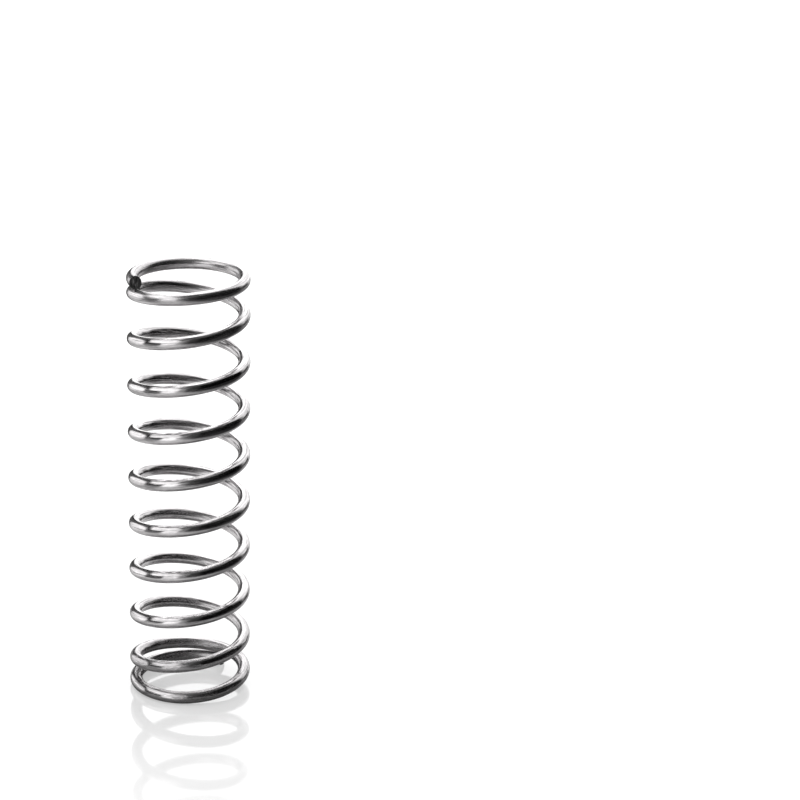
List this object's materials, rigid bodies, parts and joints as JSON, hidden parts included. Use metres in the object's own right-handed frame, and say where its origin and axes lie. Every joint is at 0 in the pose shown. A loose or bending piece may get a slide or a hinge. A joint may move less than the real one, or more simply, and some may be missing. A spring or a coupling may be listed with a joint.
{
  "type": "small compression spring",
  "caption": "Helical compression spring of round polished steel wire, wound right-handed, with closed ends that are not ground.",
  "frame": {"origin": "centre of the coil at the floor under the lower end turn", "axes": "+Z along the coil axis from the lower end to the upper end, +X to the right and +Y to the back as the picture shows it; the wire starts at the lower tip, 54.5 degrees from +X towards +Y, and climbs anticlockwise seen from above"},
  "size_m": [0.01, 0.01, 0.0357],
  "materials": {
    "spring_wire": "bright drawn wire, polished along its length, with bare sheared tips"
  },
  "bodies": {
    "root": {"coil_spring": "spring_wire"}
  },
  "joints": []
}
